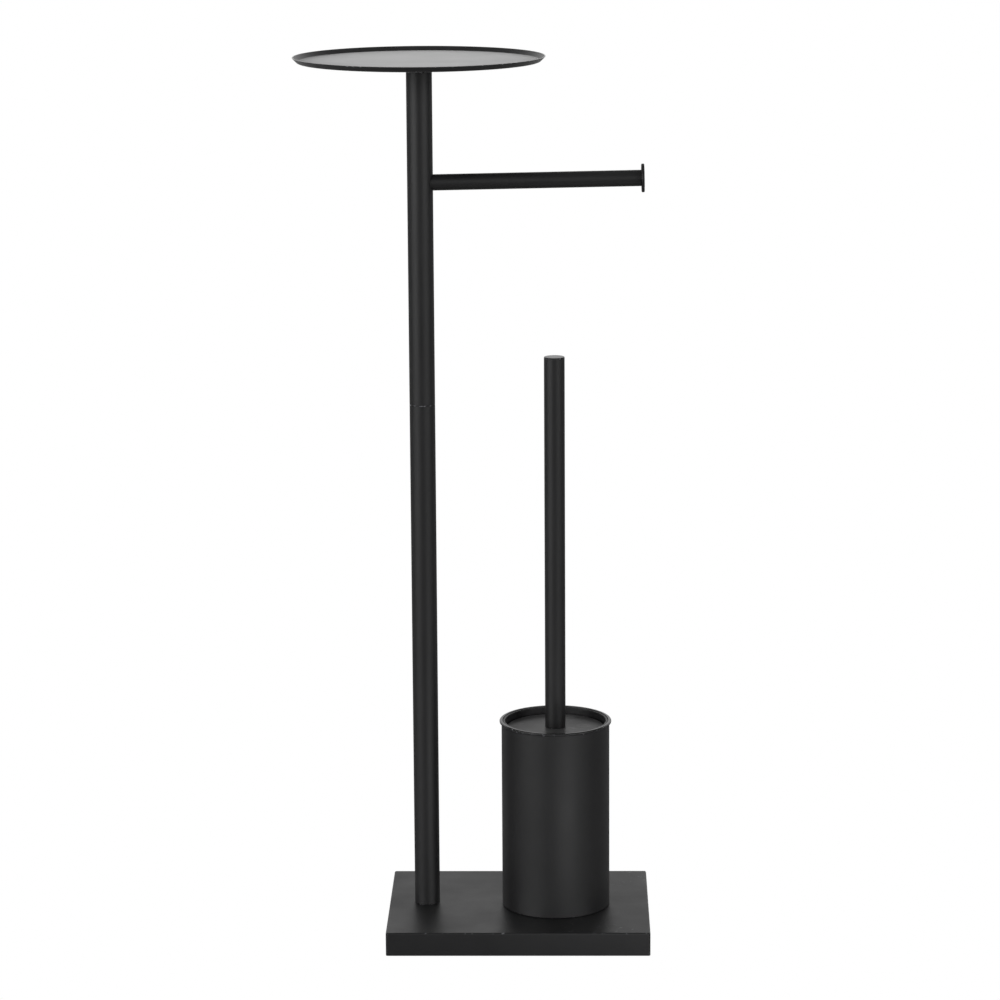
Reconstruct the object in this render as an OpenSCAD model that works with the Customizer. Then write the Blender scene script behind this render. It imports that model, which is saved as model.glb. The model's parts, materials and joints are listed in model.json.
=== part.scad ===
// Free-standing toilet paper holder with a toilet brush: a weighted base carries a
// tubular column, a horizontal roll arm and a round top tray, and a brush canister
// stands on the base beside the column.
// Frame: origin at the centre of the base's underside, +X from the column towards
// the brush, +Y to the back, +Z up. All sizes are in millimetres.

/* [Base] */
// Width of the base, left to right
base_w = 228; // [200:1:260]
// Depth of the base, front to back
base_d = 178; // [150:1:210]
// Height of the pressed steel shell
base_h = 20.5; // [19:0.5:24]
// Radius of the shell's top edges and corners
base_edge = 1.2; // [0.8:0.1:2]
// Thickness of the anti-slip pad under the base
pad_t = 1.5; // [1:0.1:2]
// Thickness of the cast-iron slab
slab_t = 10; // [6:0.5:11]

/* [Column] */
// Column axis, measured from the centre of the base
column_x = -81; // [-90:1:-60]
// Outer diameter of the column tubes
column_d = 22; // [20:0.5:25]
// Wall of the column tubes
column_wall = 1.2; // [1:0.1:1.5]
// Height of the joint between the lower and the upper tube
joint_z = 468; // [350:1:550]
// Height of the top end of the upper tube
column_top_z = 753.2; // [700:0.1:800]

/* [Tray] */
// Diameter of the round tray over its rim
tray_d = 214; // [160:1:230]
// Overall height of the tray, underside to rim
tray_h = 4.6; // [3:0.1:8]
// Sheet thickness of the tray
tray_sheet = 1; // [0.8:0.1:1.5]
// Height of the turned boss under the tray
boss_h = 8.2; // [5:0.1:12]

/* [Roll arm] */
// Height of the arm's axis where it meets the column's axis
arm_z = 659; // [620:1:690]
// Upward tilt of the arm, in degrees
arm_tilt = 1; // [0:0.5:3]
// Outer diameter of the arm tube
arm_d = 13.8; // [12:0.1:16]
// Length from the column's axis to the outer face of the end disc
arm_len = 190.5; // [150:0.5:200]
// Diameter of the end disc that keeps the roll on
disc_d = 24.3; // [20:0.1:32]
// Thickness of the end disc
disc_t = 2.6; // [2:0.1:4]

/* [Canister] */
// Canister axis, left to right
canister_x = 32.5; // [20:0.5:50]
// Canister axis, front to back
canister_y = -3; // [-20:0.5:20]
// Outer diameter of the canister's wall
canister_d = 94.2; // [90:0.2:100]
// Outer diameter of the rolled bead at its mouth
bead_d = 97.6; // [96:0.2:104]
// Height of the canister, base to the top of the bead
canister_h = 167; // [150:0.5:200]

/* [Brush] */
// Outer diameter of the handle tube
handle_d = 17.8; // [16:0.2:20]
// Height of the top of the handle above the floor
handle_top_z = 509.5; // [440:0.5:510]
// Diameter of the lid disc
lid_d = 85; // [84:0.5:86]
// Depth of the lid's top below the canister's bead
lid_recess = 6.5; // [4:0.5:10]
// Diameter of the bristles
bristle_d = 68; // [60:1:74]

/* [Hidden] */
$fn = 96;

// Colours
powder_black = [0.13, 0.13, 0.14];
zinc = [0.70, 0.71, 0.72];
cast_iron = [0.30, 0.30, 0.31];
rubber_black = [0.08, 0.08, 0.08];
plastic_black = [0.10, 0.10, 0.11];
nylon_grey = [0.20, 0.20, 0.21];

// Fits and small sizes
thread_gap = 0.05;   // radial gap of a screw in its thread, both plain cylinders
plug_gap = 0.02;     // radial gap of an insert in its tube
tube_edge = 0.4;     // chamfer on the ends of tubes and turned parts

// Base: pad on the floor, plate on the pad, slab under the shell's top
shell_t = 1.5;
shell_z = 1;
base_top = shell_z + base_h;
plate_t = 1.2;
plate_top = pad_t + plate_t;
plate_gap = 0.4;
pad_inset = 2;
slab_top = base_top - shell_t;
slab_bottom = slab_top - slab_t;
slab_inset = 4;
slab_corner = 4;
screw_r = 1.95;
screw_head_r = 4;
screw_len = 8;
screw_inset_x = 19;
screw_inset_y = 19;
screw_boss_r = 8;
column_boss_r = 18;
access_r = 10;
counterbore_r = 8.5;
counterbore_depth = 10.3;

// Column fasteners, metric 8
bolt_r = 4;
bolt_hole_r = 4.5;
bolt_head_r = 6.5;
bolt_head_h = 8;
bolt_len = 30;
bolt_key = 6;
bolt_key_depth = 4;
washer_r = 8;
washer_t = 1.6;
washer_top = plate_top + counterbore_depth;
column_r = column_d / 2;
column_bore_r = column_r - column_wall;
insert_len = 25;
joint_stud_len = 36;
tray_stud_len = 20;

// Tray
tray_z = column_top_z + boss_h;
tray_r = tray_d / 2;
tray_rim_edge = 0.4;
tray_foot_r = tray_r - tray_h + tray_rim_edge;   // where the 45 degree lip leaves the floor
lip_run = tray_sheet * sqrt(2);

// Roll arm, along the arm's own axis from the column's axis
arm_r = arm_d / 2;
arm_wall = 1;
arm_bore_r = arm_r - arm_wall;
cope_gap = 0.02;
anchor_r = 4.5;
anchor_len = 16;
anchor_flange_r = arm_bore_r - 0.3;
anchor_flange_t = 1;
anchor_collar_r = 6;
anchor_collar_x = 5.5;
anchor_collar_t = 2;
tie_rod_r = 2.5;
disc_edge = 0.7;
spigot_len = 14;
spigot_bore_len = 12;
tie_rod_end_gap = 1.5;

// Canister and liner
canister_r = canister_d / 2;
canister_wall = 1;
canister_bore_r = canister_r - canister_wall;
canister_foot = 0.5;
ring_pad_t = 1.5;
ring_pad_r = canister_bore_r - 2;
ring_pad_bore_r = 28;
canister_floor_z = base_top + ring_pad_t;
canister_top = base_top + canister_h;
bead_r = 1.2;
liner_z = canister_floor_z + canister_wall;
liner_gap = 0.2;
liner_wall = 1.9;
liner_floor = 2;
liner_top = canister_top - 0.5;
lid_t = 2.4;
lid_top = canister_top - lid_recess;
lid_z = lid_top - lid_t;
liner_r = canister_bore_r - liner_gap;
liner_ledge_in = 3;            // how far the wall steps in under the lid
liner_low_r = liner_r - liner_ledge_in;

// Brush
handle_r = handle_d / 2;
handle_wall = 1;
handle_bore_r = handle_r - handle_wall;
cap_t = 1.1;
cap_bevel = 0.5;
cap_spigot = 10;
lid_edge = 0.4;
lid_hole_r = 4.2;
nut_r = 7.5;
nut_t = 6.5;
hub_r = 8;
hub_top = 150;
hub_len = 32;
hub_socket = 24;
core_r = 7;
core_bottom = 58;
bristle_top = 120;
bristle_bottom = 50;
bristle_round = 8;
bristle_shoulder = 12;
stem_bottom = hub_top - hub_socket + 2;
stem_top = lid_top + insert_len - 3;

// A rectangle with true round corners
module round_rect(w, d, r) {
    square([w - 2 * r, d], center = true);
    square([w, d - 2 * r], center = true);
    for (sx = [-1, 1], sy = [-1, 1])
        translate([sx * (w / 2 - r), sy * (d / 2 - r)])
            circle(r = r);
}

// A slab with round corners
module round_slab(w, d, r, h) {
    linear_extrude(height = h)
        round_rect(w, d, r);
}

// A slab whose corners and top edges are both rounded
module soft_slab(w, d, r, h) {
    round_slab(w, d, r, h - r);
    translate([0, 0, h - r])
        linear_extrude(height = r)
            square([w - 2 * r, d - 2 * r], center = true);
    for (s = [-1, 1]) {
        translate([-w / 2 + r, s * (d / 2 - r), h - r])
            rotate([0, 90, 0])
                cylinder(r = r, h = w - 2 * r);
        translate([s * (w / 2 - r), d / 2 - r, h - r])
            rotate([90, 0, 0])
                cylinder(r = r, h = d - 2 * r);
    }
    for (sx = [-1, 1], sy = [-1, 1])
        translate([sx * (w / 2 - r), sy * (d / 2 - r), h - r])
            sphere(r = r);
}

// A tube standing on z = 0, chamfered outside at both ends
module tube(r, bore, h) {
    rotate_extrude()
        polygon([
            [bore, 0], [r - tube_edge, 0], [r, tube_edge],
            [r, h - tube_edge], [r - tube_edge, h], [bore, h]
        ]);
}

// A plain insert with a threaded bore right through
module insert(r, bore, h) {
    difference() {
        cylinder(r = r, h = h);
        translate([0, 0, -1])
            cylinder(r = bore, h = h + 2);
    }
}

// Puts children that stand along +Z on the column's axis, at height z
module on_column(z) {
    translate([column_x, 0, z])
        children();
}

// Lays children that stand along +Z along the arm, x from the column's axis
module along_arm(x) {
    translate([column_x, 0, arm_z])
        rotate([0, -arm_tilt, 0])
            translate([x, 0, 0])
                rotate([0, 90, 0])
                    children();
}

// Puts children on the canister's and brush's axis, at height z
module on_canister(z) {
    translate([canister_x, canister_y, z])
        children();
}

// Repeats children at the base's four screws
module at_screws(z) {
    for (sx = [-1, 1], sy = [-1, 1])
        translate([sx * (base_w / 2 - screw_inset_x), sy * (base_d / 2 - screw_inset_y), z])
            children();
}

// ---- Base ----

module anti_slip_pad() {
    inset = 2 * (shell_t + pad_inset);
    color(rubber_black)
        difference() {
            round_slab(base_w - inset, base_d - inset, slab_corner, pad_t);
            on_column(-1)
                cylinder(r = access_r, h = pad_t + 2);
        }
}

module base_plate() {
    inset = 2 * (shell_t + plate_gap);
    color(zinc)
        translate([0, 0, pad_t])
            difference() {
                round_slab(base_w - inset, base_d - inset, base_edge, plate_t);
                on_column(-1)
                    cylinder(r = access_r, h = plate_t + 2);
                at_screws(0)
                    cylinder(r1 = screw_head_r + thread_gap, r2 = screw_r + thread_gap, h = plate_t);
            }
}

module base_plate_screws() {
    color(zinc)
        at_screws(pad_t) {
            cylinder(r1 = screw_head_r, r2 = screw_r, h = plate_t);
            cylinder(r = screw_r, h = screw_len);
        }
}

module base_weight() {
    inset = 2 * slab_inset;
    color(cast_iron)
        difference() {
            union() {
                translate([0, 0, slab_bottom])
                    round_slab(base_w - inset, base_d - inset, slab_corner, slab_t);
                at_screws(plate_top)
                    cylinder(r = screw_boss_r, h = slab_bottom - plate_top + 1);
                on_column(plate_top)
                    cylinder(r = column_boss_r, h = slab_bottom - plate_top + 1);
            }
            at_screws(plate_top - 1)
                cylinder(r = screw_r + thread_gap, h = screw_len + 2);
            on_column(plate_top - 1)
                cylinder(r = counterbore_r, h = counterbore_depth + 1);
            on_column(plate_top)
                cylinder(r = bolt_hole_r, h = base_top);
        }
}

module base_shell() {
    color(powder_black)
        difference() {
            translate([0, 0, shell_z])
                soft_slab(base_w, base_d, base_edge, base_h);
            linear_extrude(height = slab_top)
                square([base_w - 2 * shell_t, base_d - 2 * shell_t], center = true);
            on_column(slab_top - 1)
                cylinder(r = bolt_hole_r, h = shell_t + 2);
        }
}

module column_bolt() {
    head_z = washer_top - washer_t - bolt_head_h;
    color(zinc)
        on_column(head_z)
            difference() {
                union() {
                    cylinder(r = bolt_head_r, h = bolt_head_h);
                    cylinder(r = bolt_r, h = bolt_head_h + bolt_len);
                }
                translate([0, 0, -1])
                    cylinder(r = bolt_key / sqrt(3), h = bolt_key_depth + 1, $fn = 6);
            }
}

module column_washer() {
    color(zinc)
        on_column(washer_top - washer_t)
            insert(washer_r, bolt_r + 4 * thread_gap, washer_t);
}

// ---- Column ----

module column_insert(z) {
    color(zinc)
        on_column(z)
            insert(column_bore_r - plug_gap, bolt_r + thread_gap, insert_len);
}

module foot_insert() {
    column_insert(base_top);
}

module lower_tube() {
    color(powder_black)
        on_column(base_top)
            tube(column_r, column_bore_r, joint_z - base_top);
}

module lower_joint_insert() {
    column_insert(joint_z - insert_len);
}

module joint_stud() {
    color(zinc)
        on_column(joint_z - joint_stud_len / 2)
            cylinder(r = bolt_r, h = joint_stud_len);
}

module upper_joint_insert() {
    column_insert(joint_z);
}

module upper_tube() {
    color(powder_black)
        difference() {
            on_column(joint_z)
                tube(column_r, column_bore_r, column_top_z - joint_z);
            along_arm(0)
                cylinder(r = anchor_r + thread_gap, h = column_d);
        }
}

module column_top_insert() {
    column_insert(column_top_z - insert_len);
}

module tray_boss() {
    color(powder_black)
        on_column(column_top_z) {
            translate([0, 0, -tray_stud_len])
                cylinder(r = bolt_r, h = tray_stud_len + 1);
            rotate_extrude()
                polygon([
                    [0, 0], [column_r - tube_edge, 0], [column_r, tube_edge],
                    [column_r, boss_h], [0, boss_h]
                ]);
        }
}

module tray() {
    color(powder_black)
        on_column(tray_z)
            rotate_extrude()
                polygon([
                    [0, 0],
                    [tray_foot_r, 0],
                    [tray_r, tray_h - tray_rim_edge],
                    [tray_r - tray_rim_edge, tray_h],
                    [tray_foot_r - lip_run + tray_h, tray_h],
                    [tray_foot_r - lip_run + tray_sheet, tray_sheet],
                    [0, tray_sheet]
                ]);
}

// ---- Roll arm ----

// Threaded anchor in the column's wall: a flange outside it and a collar inside
module arm_anchor() {
    flange_x = column_r + thread_gap;
    color(zinc)
        difference() {
            union() {
                along_arm(flange_x + anchor_flange_t - anchor_len)
                    cylinder(r = anchor_r, h = anchor_len);
                along_arm(flange_x)
                    cylinder(r = anchor_flange_r, h = anchor_flange_t);
                along_arm(anchor_collar_x)
                    cylinder(r = anchor_collar_r, h = anchor_collar_t);
            }
            along_arm(-anchor_len)
                cylinder(r = tie_rod_r + thread_gap, h = 3 * anchor_len);
        }
}

module arm_tube() {
    color(powder_black)
        difference() {
            along_arm(column_r / 2)
                insert(arm_r, arm_bore_r, arm_len - disc_t - column_r / 2);
            on_column(arm_z - column_d)
                cylinder(r = column_r + cope_gap, h = 2 * column_d);
        }
}

module arm_tie_rod() {
    rod_end = arm_len - disc_t - spigot_len + spigot_bore_len - tie_rod_end_gap;
    color(zinc)
        along_arm(0)
            cylinder(r = tie_rod_r, h = rod_end);
}

module arm_end_disc() {
    r = disc_d / 2;
    color(powder_black)
        along_arm(arm_len - disc_t - spigot_len)
            difference() {
                union() {
                    cylinder(r = arm_bore_r - thread_gap, h = spigot_len + 1);
                    translate([0, 0, spigot_len])
                        rotate_extrude()
                            union() {
                                square([r - disc_edge, disc_t]);
                                translate([0, disc_edge])
                                    square([r, disc_t - 2 * disc_edge]);
                                for (y = [disc_edge, disc_t - disc_edge])
                                    translate([r - disc_edge, y])
                                        circle(r = disc_edge);
                            }
                }
                translate([0, 0, -1])
                    cylinder(r = tie_rod_r + thread_gap, h = spigot_bore_len + 1);
            }
}

// ---- Canister ----

module canister_pad() {
    color(rubber_black)
        on_canister(base_top)
            insert(ring_pad_r, ring_pad_bore_r, ring_pad_t);
}

// Steel cup with a raised floor and its mouth rolled into a bead
module canister() {
    wall_z = base_top + canister_foot;
    color(powder_black)
        on_canister(0)
            rotate_extrude()
                union() {
                    translate([0, canister_floor_z])
                        square([canister_r, canister_wall]);
                    translate([canister_bore_r, wall_z])
                        square([canister_wall, canister_top - wall_z]);
                    translate([canister_bore_r, canister_top - 2 * bead_r])
                        square([bead_d / 2 - bead_r - canister_bore_r, 2 * bead_r]);
                    translate([bead_d / 2 - bead_r, canister_top - bead_r])
                        circle(r = bead_r);
                }
}

// Drip cup that stands on the canister's floor, stepped to carry the lid
module liner() {
    color(plastic_black)
        on_canister(0)
            rotate_extrude()
                polygon([
                    [0, liner_z],
                    [liner_low_r, liner_z],
                    [liner_low_r, lid_z - liner_wall],
                    [liner_r, lid_z - liner_wall],
                    [liner_r, liner_top],
                    [liner_r - liner_wall, liner_top],
                    [liner_r - liner_wall, lid_z],
                    [liner_low_r - liner_wall, lid_z],
                    [liner_low_r - liner_wall, liner_z + liner_floor],
                    [0, liner_z + liner_floor]
                ]);
}

// ---- Brush ----

module lid() {
    r = lid_d / 2;
    color(powder_black)
        on_canister(lid_z)
            rotate_extrude()
                polygon([
                    [lid_hole_r, 0], [r - lid_edge, 0], [r, lid_edge],
                    [r, lid_t - lid_edge], [r - lid_edge, lid_t], [lid_hole_r, lid_t]
                ]);
}

module lid_nut() {
    color(zinc)
        on_canister(lid_z - nut_t)
            difference() {
                cylinder(r = nut_r, h = nut_t, $fn = 6);
                translate([0, 0, -1])
                    cylinder(r = bolt_r + thread_gap, h = nut_t + 2);
            }
}

module brush_stem() {
    color(zinc)
        on_canister(stem_bottom)
            cylinder(r = bolt_r, h = stem_top - stem_bottom);
}

module handle_insert() {
    color(zinc)
        on_canister(lid_top)
            insert(handle_bore_r - plug_gap, bolt_r + thread_gap, insert_len);
}

module handle_tube() {
    color(powder_black)
        on_canister(lid_top)
            insert(handle_r, handle_bore_r, handle_top_z - cap_t - lid_top);
}

module handle_cap() {
    color(powder_black)
        on_canister(handle_top_z - cap_t) {
            rotate_extrude()
                polygon([
                    [0, 0], [handle_r, 0], [handle_r, cap_t - cap_bevel],
                    [handle_r - cap_bevel, cap_t], [0, cap_t]
                ]);
            translate([0, 0, -cap_spigot])
                cylinder(r = handle_bore_r - plug_gap, h = cap_spigot + cap_t / 2);
        }
}

// Moulded core that screws onto the stem
module brush_core() {
    color(plastic_black)
        on_canister(0)
            difference() {
                union() {
                    translate([0, 0, hub_top - hub_len])
                        cylinder(r = hub_r, h = hub_len);
                    translate([0, 0, core_bottom])
                        cylinder(r = core_r, h = hub_top - core_bottom - 1);
                }
                translate([0, 0, hub_top - hub_socket])
                    cylinder(r = bolt_r + thread_gap, h = hub_socket + 1);
            }
}

// Plain solid that holds the space of the bristle tufts
module bristles() {
    r = bristle_d / 2;
    inner = core_r + thread_gap;
    color(nylon_grey)
        on_canister(0)
            rotate_extrude()
                polygon([
                    [0, bristle_bottom],
                    [r - bristle_round, bristle_bottom],
                    [r, bristle_bottom + bristle_round],
                    [r, bristle_top - bristle_shoulder],
                    [r - bristle_shoulder, bristle_top - 3],
                    [inner, bristle_top - 3],
                    [inner, core_bottom],
                    [0, core_bottom]
                ]);
}

anti_slip_pad();
base_plate();
base_plate_screws();
base_weight();
base_shell();
column_bolt();
column_washer();
foot_insert();
lower_tube();
lower_joint_insert();
joint_stud();
upper_joint_insert();
upper_tube();
column_top_insert();
tray_boss();
tray();
arm_anchor();
arm_tube();
arm_tie_rod();
arm_end_disc();
canister_pad();
canister();
liner();
lid();
lid_nut();
brush_stem();
handle_insert();
handle_tube();
handle_cap();
brush_core();
bristles();
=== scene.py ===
"""The looks of a free-standing toilet paper holder with a brush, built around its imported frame.

Every piece takes its place from the frame's own nodes. Lengths are in metres.
"""

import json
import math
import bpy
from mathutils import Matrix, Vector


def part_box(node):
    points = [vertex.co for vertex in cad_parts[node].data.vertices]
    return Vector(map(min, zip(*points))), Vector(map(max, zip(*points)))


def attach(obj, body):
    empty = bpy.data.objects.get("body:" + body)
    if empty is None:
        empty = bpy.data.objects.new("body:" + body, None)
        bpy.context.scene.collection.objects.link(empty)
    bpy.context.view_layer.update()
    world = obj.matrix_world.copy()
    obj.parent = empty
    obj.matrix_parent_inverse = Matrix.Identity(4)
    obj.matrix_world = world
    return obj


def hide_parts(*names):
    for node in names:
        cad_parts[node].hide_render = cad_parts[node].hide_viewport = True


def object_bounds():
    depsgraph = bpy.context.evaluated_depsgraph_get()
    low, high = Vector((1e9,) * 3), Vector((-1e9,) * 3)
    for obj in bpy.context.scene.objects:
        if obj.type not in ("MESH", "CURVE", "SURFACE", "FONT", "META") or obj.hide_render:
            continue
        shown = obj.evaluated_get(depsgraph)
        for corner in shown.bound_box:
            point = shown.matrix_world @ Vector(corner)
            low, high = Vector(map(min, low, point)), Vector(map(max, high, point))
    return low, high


bl_info = {
    "name": "Toilet Paper Holder",
    "version": (1, 0, 0),
    "blender": (4, 5, 0),
    "location": "3D View > Sidebar > Holder",
    "description": "Builds the finished pieces of a toilet paper holder around its frame",
    "category": "Object",
}

import bmesh
import bpy
from mathutils import Matrix, Vector

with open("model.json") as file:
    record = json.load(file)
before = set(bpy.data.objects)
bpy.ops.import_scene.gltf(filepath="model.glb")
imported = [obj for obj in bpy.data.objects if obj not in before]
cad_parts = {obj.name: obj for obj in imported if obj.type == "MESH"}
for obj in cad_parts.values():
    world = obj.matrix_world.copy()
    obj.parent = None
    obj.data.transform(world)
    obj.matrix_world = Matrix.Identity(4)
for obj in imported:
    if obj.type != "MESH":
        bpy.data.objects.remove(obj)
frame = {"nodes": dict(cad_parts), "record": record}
CAD_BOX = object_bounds()

MM = 0.001
TURN = 2 * math.pi
PITCH = 1.25 * MM


# ---------------------------------------------------------------- sizes and colours


def length_property(name, description, millimetres):
    """A length property, given in millimetres."""
    return bpy.props.FloatProperty(
        name=name, description=description, default=millimetres * MM, unit="LENGTH"
    )


def angle_property(name, description, degrees):
    """An angle property, given in degrees."""
    return bpy.props.FloatProperty(
        name=name, description=description, default=math.radians(degrees), subtype="ANGLE"
    )


def colour_property(name, description, default):
    """A colour property."""
    return bpy.props.FloatVectorProperty(name=name, description=description, default=default, subtype="COLOR")


def light_property(name, description, default):
    """The brightness of a light."""
    return bpy.props.FloatProperty(name=name, description=description, default=default)


class HOLDER_PG_shape(bpy.types.PropertyGroup):
    """Sizes of the finished pieces that the frame's boxes don't give."""

    shell_sheet: length_property("Shell sheet", "Thickness of the base shell's pressed steel", 1.5)
    shell_edge: length_property("Shell edge", "Outer radius where the base shell's top folds down", 1.3)
    shell_corner: length_property("Shell corner", "Radius of the base shell's upright corners", 1.8)
    pad_dot: length_property("Pad dot", "Radius of the grip dots under the pad", 2.6)
    pad_dot_pitch: length_property("Pad dot pitch", "Distance from one grip dot to the next", 9.5)
    tube_wall: length_property("Column wall", "Wall of the column's tubes", 1.2)
    thin_wall: length_property("Thin wall", "Wall of the arm tube, the handle tube and the canister", 1.0)
    tube_edge: length_property("Tube edge", "Radius on the cut ends of tubes and turned parts", 0.35)
    tray_sheet: length_property("Tray sheet", "Thickness of the spun tray", 1.0)
    tray_bend: length_property("Tray bend", "Inner radius where the tray's floor turns up into its lip", 1.6)
    disc_thickness: length_property("End disc thickness", "Thickness of the disc on the arm's end", 2.6)
    disc_edge: length_property("End disc edge", "Radius on the rim of the disc on the arm's end", 0.8)
    bead: length_property("Canister bead", "Radius of the bead rolled at the canister's mouth", 1.2)
    liner_wall: length_property("Liner wall", "Wall of the moulded liner", 1.9)
    liner_step: length_property("Liner step", "How far the liner steps in under the lid", 3.0)
    thread_depth: length_property("Thread depth", "Depth of the screw threads", 0.65)
    bristle_rows: bpy.props.IntProperty(
        name="Tuft rows", description="Rows of bristle tufts from the brush's bottom to its top", default=18
    )
    bristle_tufts: bpy.props.IntProperty(
        name="Tufts in a row", description="Bristle tufts around the brush in each row", default=18
    )
    bristle_count: bpy.props.IntProperty(
        name="Filaments in a tuft", description="Nylon filaments in each tuft", default=15
    )
    bristle_radius: length_property("Filament radius", "Radius of one nylon filament", 0.26)


class HOLDER_PG_finish(bpy.types.PropertyGroup):
    """Colours and roughnesses of the finishes."""

    powder: colour_property("Powder coat", "Colour of the black powder coat", (0.0105, 0.0105, 0.0112))
    powder_roughness: bpy.props.FloatProperty(
        name="Powder roughness", description="Mean roughness of the powder coat", default=0.44, min=0, max=1
    )
    # On the tray, the handle cap and the lid this colour is also painted highlight.
    dust: colour_property("Dust", "Colour of the thin dust that lies on upward faces", (0.16, 0.16, 0.16))
    zinc: colour_property("Zinc", "Colour of the zinc plated fasteners", (0.56, 0.57, 0.6))
    iron: colour_property("Cast iron", "Colour of the cast slab in the base", (0.06, 0.058, 0.056))
    rubber: colour_property("Rubber", "Colour of the anti-slip pads", (0.013, 0.013, 0.013))
    plastic: colour_property("Plastic", "Colour of the moulded liner and brush core", (0.012, 0.012, 0.013))
    nylon: colour_property("Nylon", "Colour of the bristles", (0.024, 0.024, 0.026))


class HOLDER_PG_stage(bpy.types.PropertyGroup):
    """The camera and the studio."""

    camera: bpy.props.FloatVectorProperty(
        name="Camera",
        description="Where the camera stands",
        default=(0.04212, -3.09161, 1.02599),
        subtype="TRANSLATION",
    )
    pitch: angle_property("Pitch", "How far the camera looks down", 11.735)
    yaw: angle_property("Yaw", "How far the camera turns to the right", -1.054)
    roll: angle_property("Roll", "How far the camera leans", -0.357)
    lens: bpy.props.FloatProperty(
        name="Lens", description="Focal length in millimetres on a 36 mm sensor", default=131.595
    )
    floor_grey: bpy.props.FloatProperty(
        name="Floor grey",
        description="How much of the light the floor gives back to the object",
        default=0.5,
        min=0,
        max=1,
    )
    floor_glow: bpy.props.FloatProperty(
        name="Floor glow",
        description="Even light that the floor adds, as a lit white sweep does",
        default=0.0,
        min=0,
    )
    left_light: light_property("Left light", "Brightness of the soft box at the front left corner", 5.0)
    right_light: light_property("Right light", "Brightness of the soft box at the front right corner", 3.4)
    back_light: light_property("Back light", "Brightness of the sweep low behind the object", 0.9)
    front_light: light_property("Front light", "Brightness of the weak fill on the camera's side", 0.3)
    top_light: light_property("Top light", "Brightness of the ceiling", 0.22)
    card_light: light_property("Card", "Power of the small card low at the front right, in watts", 0.12)


# ---------------------------------------------------------------- shader helpers


def add_node(tree, kind, settings=None, **inputs):
    """Adds a node, sets its options, and sets or links the inputs given by name."""
    made = tree.nodes.new(kind)
    for name, value in (settings or {}).items():
        setattr(made, name, value)
    for name, value in inputs.items():
        feed(tree, made.inputs[name.replace("_", " ")], value)
    return made


def feed(tree, socket, value):
    """Links a socket to value when it is another socket, and sets it otherwise."""
    if isinstance(value, bpy.types.NodeSocket):
        tree.links.new(value, socket)
    else:
        socket.default_value = value


def maths(tree, operation, *values):
    """Adds a Math node and returns its result."""
    made = tree.nodes.new("ShaderNodeMath")
    made.operation = operation
    for socket, value in zip(made.inputs, values):
        feed(tree, socket, value)
    return made.outputs[0]


def plus(tree, first, second):
    """The sum of two values."""
    return maths(tree, "ADD", first, second)


def minus(tree, first, second):
    """The first value less the second."""
    return maths(tree, "SUBTRACT", first, second)


def times(tree, first, second):
    """The product of two values."""
    return maths(tree, "MULTIPLY", first, second)


def vector_sum(tree, first, second):
    """The sum of two vectors."""
    made = add_node(tree, "ShaderNodeVectorMath", {"operation": "ADD"})
    feed(tree, made.inputs[0], first)
    feed(tree, made.inputs[1], second)
    return made.outputs["Vector"]


def scaled(tree, vector, scale):
    """A vector made longer or shorter by scale."""
    made = add_node(tree, "ShaderNodeVectorMath", {"operation": "SCALE"}, Vector=vector, Scale=scale)
    return made.outputs["Vector"]


def mix_colours(tree, factor, first, second):
    """Mixes two colours and returns the result."""
    made = add_node(tree, "ShaderNodeMix", {"data_type": "RGBA"}, Factor=factor)
    for socket, value in zip([s for s in made.inputs if s.type == "RGBA"], (first, second)):
        feed(tree, socket, value)
    return next(s for s in made.outputs if s.type == "RGBA")


def noise(tree, place, scale, detail, roughness):
    """Adds a Noise Texture and returns its value."""
    made = add_node(tree, "ShaderNodeTexNoise", Vector=place, Scale=scale, Detail=detail, Roughness=roughness)
    return made.outputs["Fac"]


def span(tree, value, low, high, to_low, to_high):
    """Maps value from the range low..high to to_low..to_high, clamped."""
    made = add_node(
        tree, "ShaderNodeMapRange", Value=value, From_Min=low, From_Max=high, To_Min=to_low, To_Max=to_high
    )
    return made.outputs["Result"]


def group_tree(name, kind, inputs, outputs):
    """Makes an empty node group; an input is given its default, or its kind where it has none."""
    tree = bpy.data.node_groups.new(name, kind)
    for title, value in inputs.items():
        if isinstance(value, str):
            tree.interface.new_socket(title, in_out="INPUT", socket_type="NodeSocket" + value)
            continue
        sort = {int: "Int", float: "Float", tuple: "Color"}[type(value)]
        socket = tree.interface.new_socket(title, in_out="INPUT", socket_type="NodeSocket" + sort)
        socket.default_value = value
    for title, sort in outputs.items():
        tree.interface.new_socket(title, in_out="OUTPUT", socket_type="NodeSocket" + sort)
    return tree, tree.nodes.new("NodeGroupInput").outputs, tree.nodes.new("NodeGroupOutput").inputs


def grain_group():
    """Fine grain over slow clouds: a height for bump and a roughness that drifts."""
    if "Surface Grain" in bpy.data.node_groups:
        return bpy.data.node_groups["Surface Grain"]
    tree, given, result = group_tree(
        "Surface Grain",
        "ShaderNodeTree",
        {
            "Vector": "Vector",
            "Grain Scale": 1500.0,
            "Cloud Scale": 30.0,
            "Smoothest": 0.3,
            "Roughest": 0.45,
        },
        {"Roughness": "Float", "Height": "Float", "Clouds": "Float"},
    )
    fine = noise(tree, given["Vector"], scale=given["Grain Scale"], detail=2.0, roughness=0.5)
    slow = noise(tree, given["Vector"], scale=given["Cloud Scale"], detail=4.0, roughness=0.55)
    clouds = span(tree, slow, 0.32, 0.68, 0.0, 1.0)
    mixed = plus(tree, times(tree, clouds, 0.7), times(tree, fine, 0.3))
    roughness = span(tree, mixed, 0.0, 1.0, given["Smoothest"], given["Roughest"])
    tree.links.new(roughness, result["Roughness"])
    tree.links.new(fine, result["Height"])
    tree.links.new(clouds, result["Clouds"])
    return tree


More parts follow.
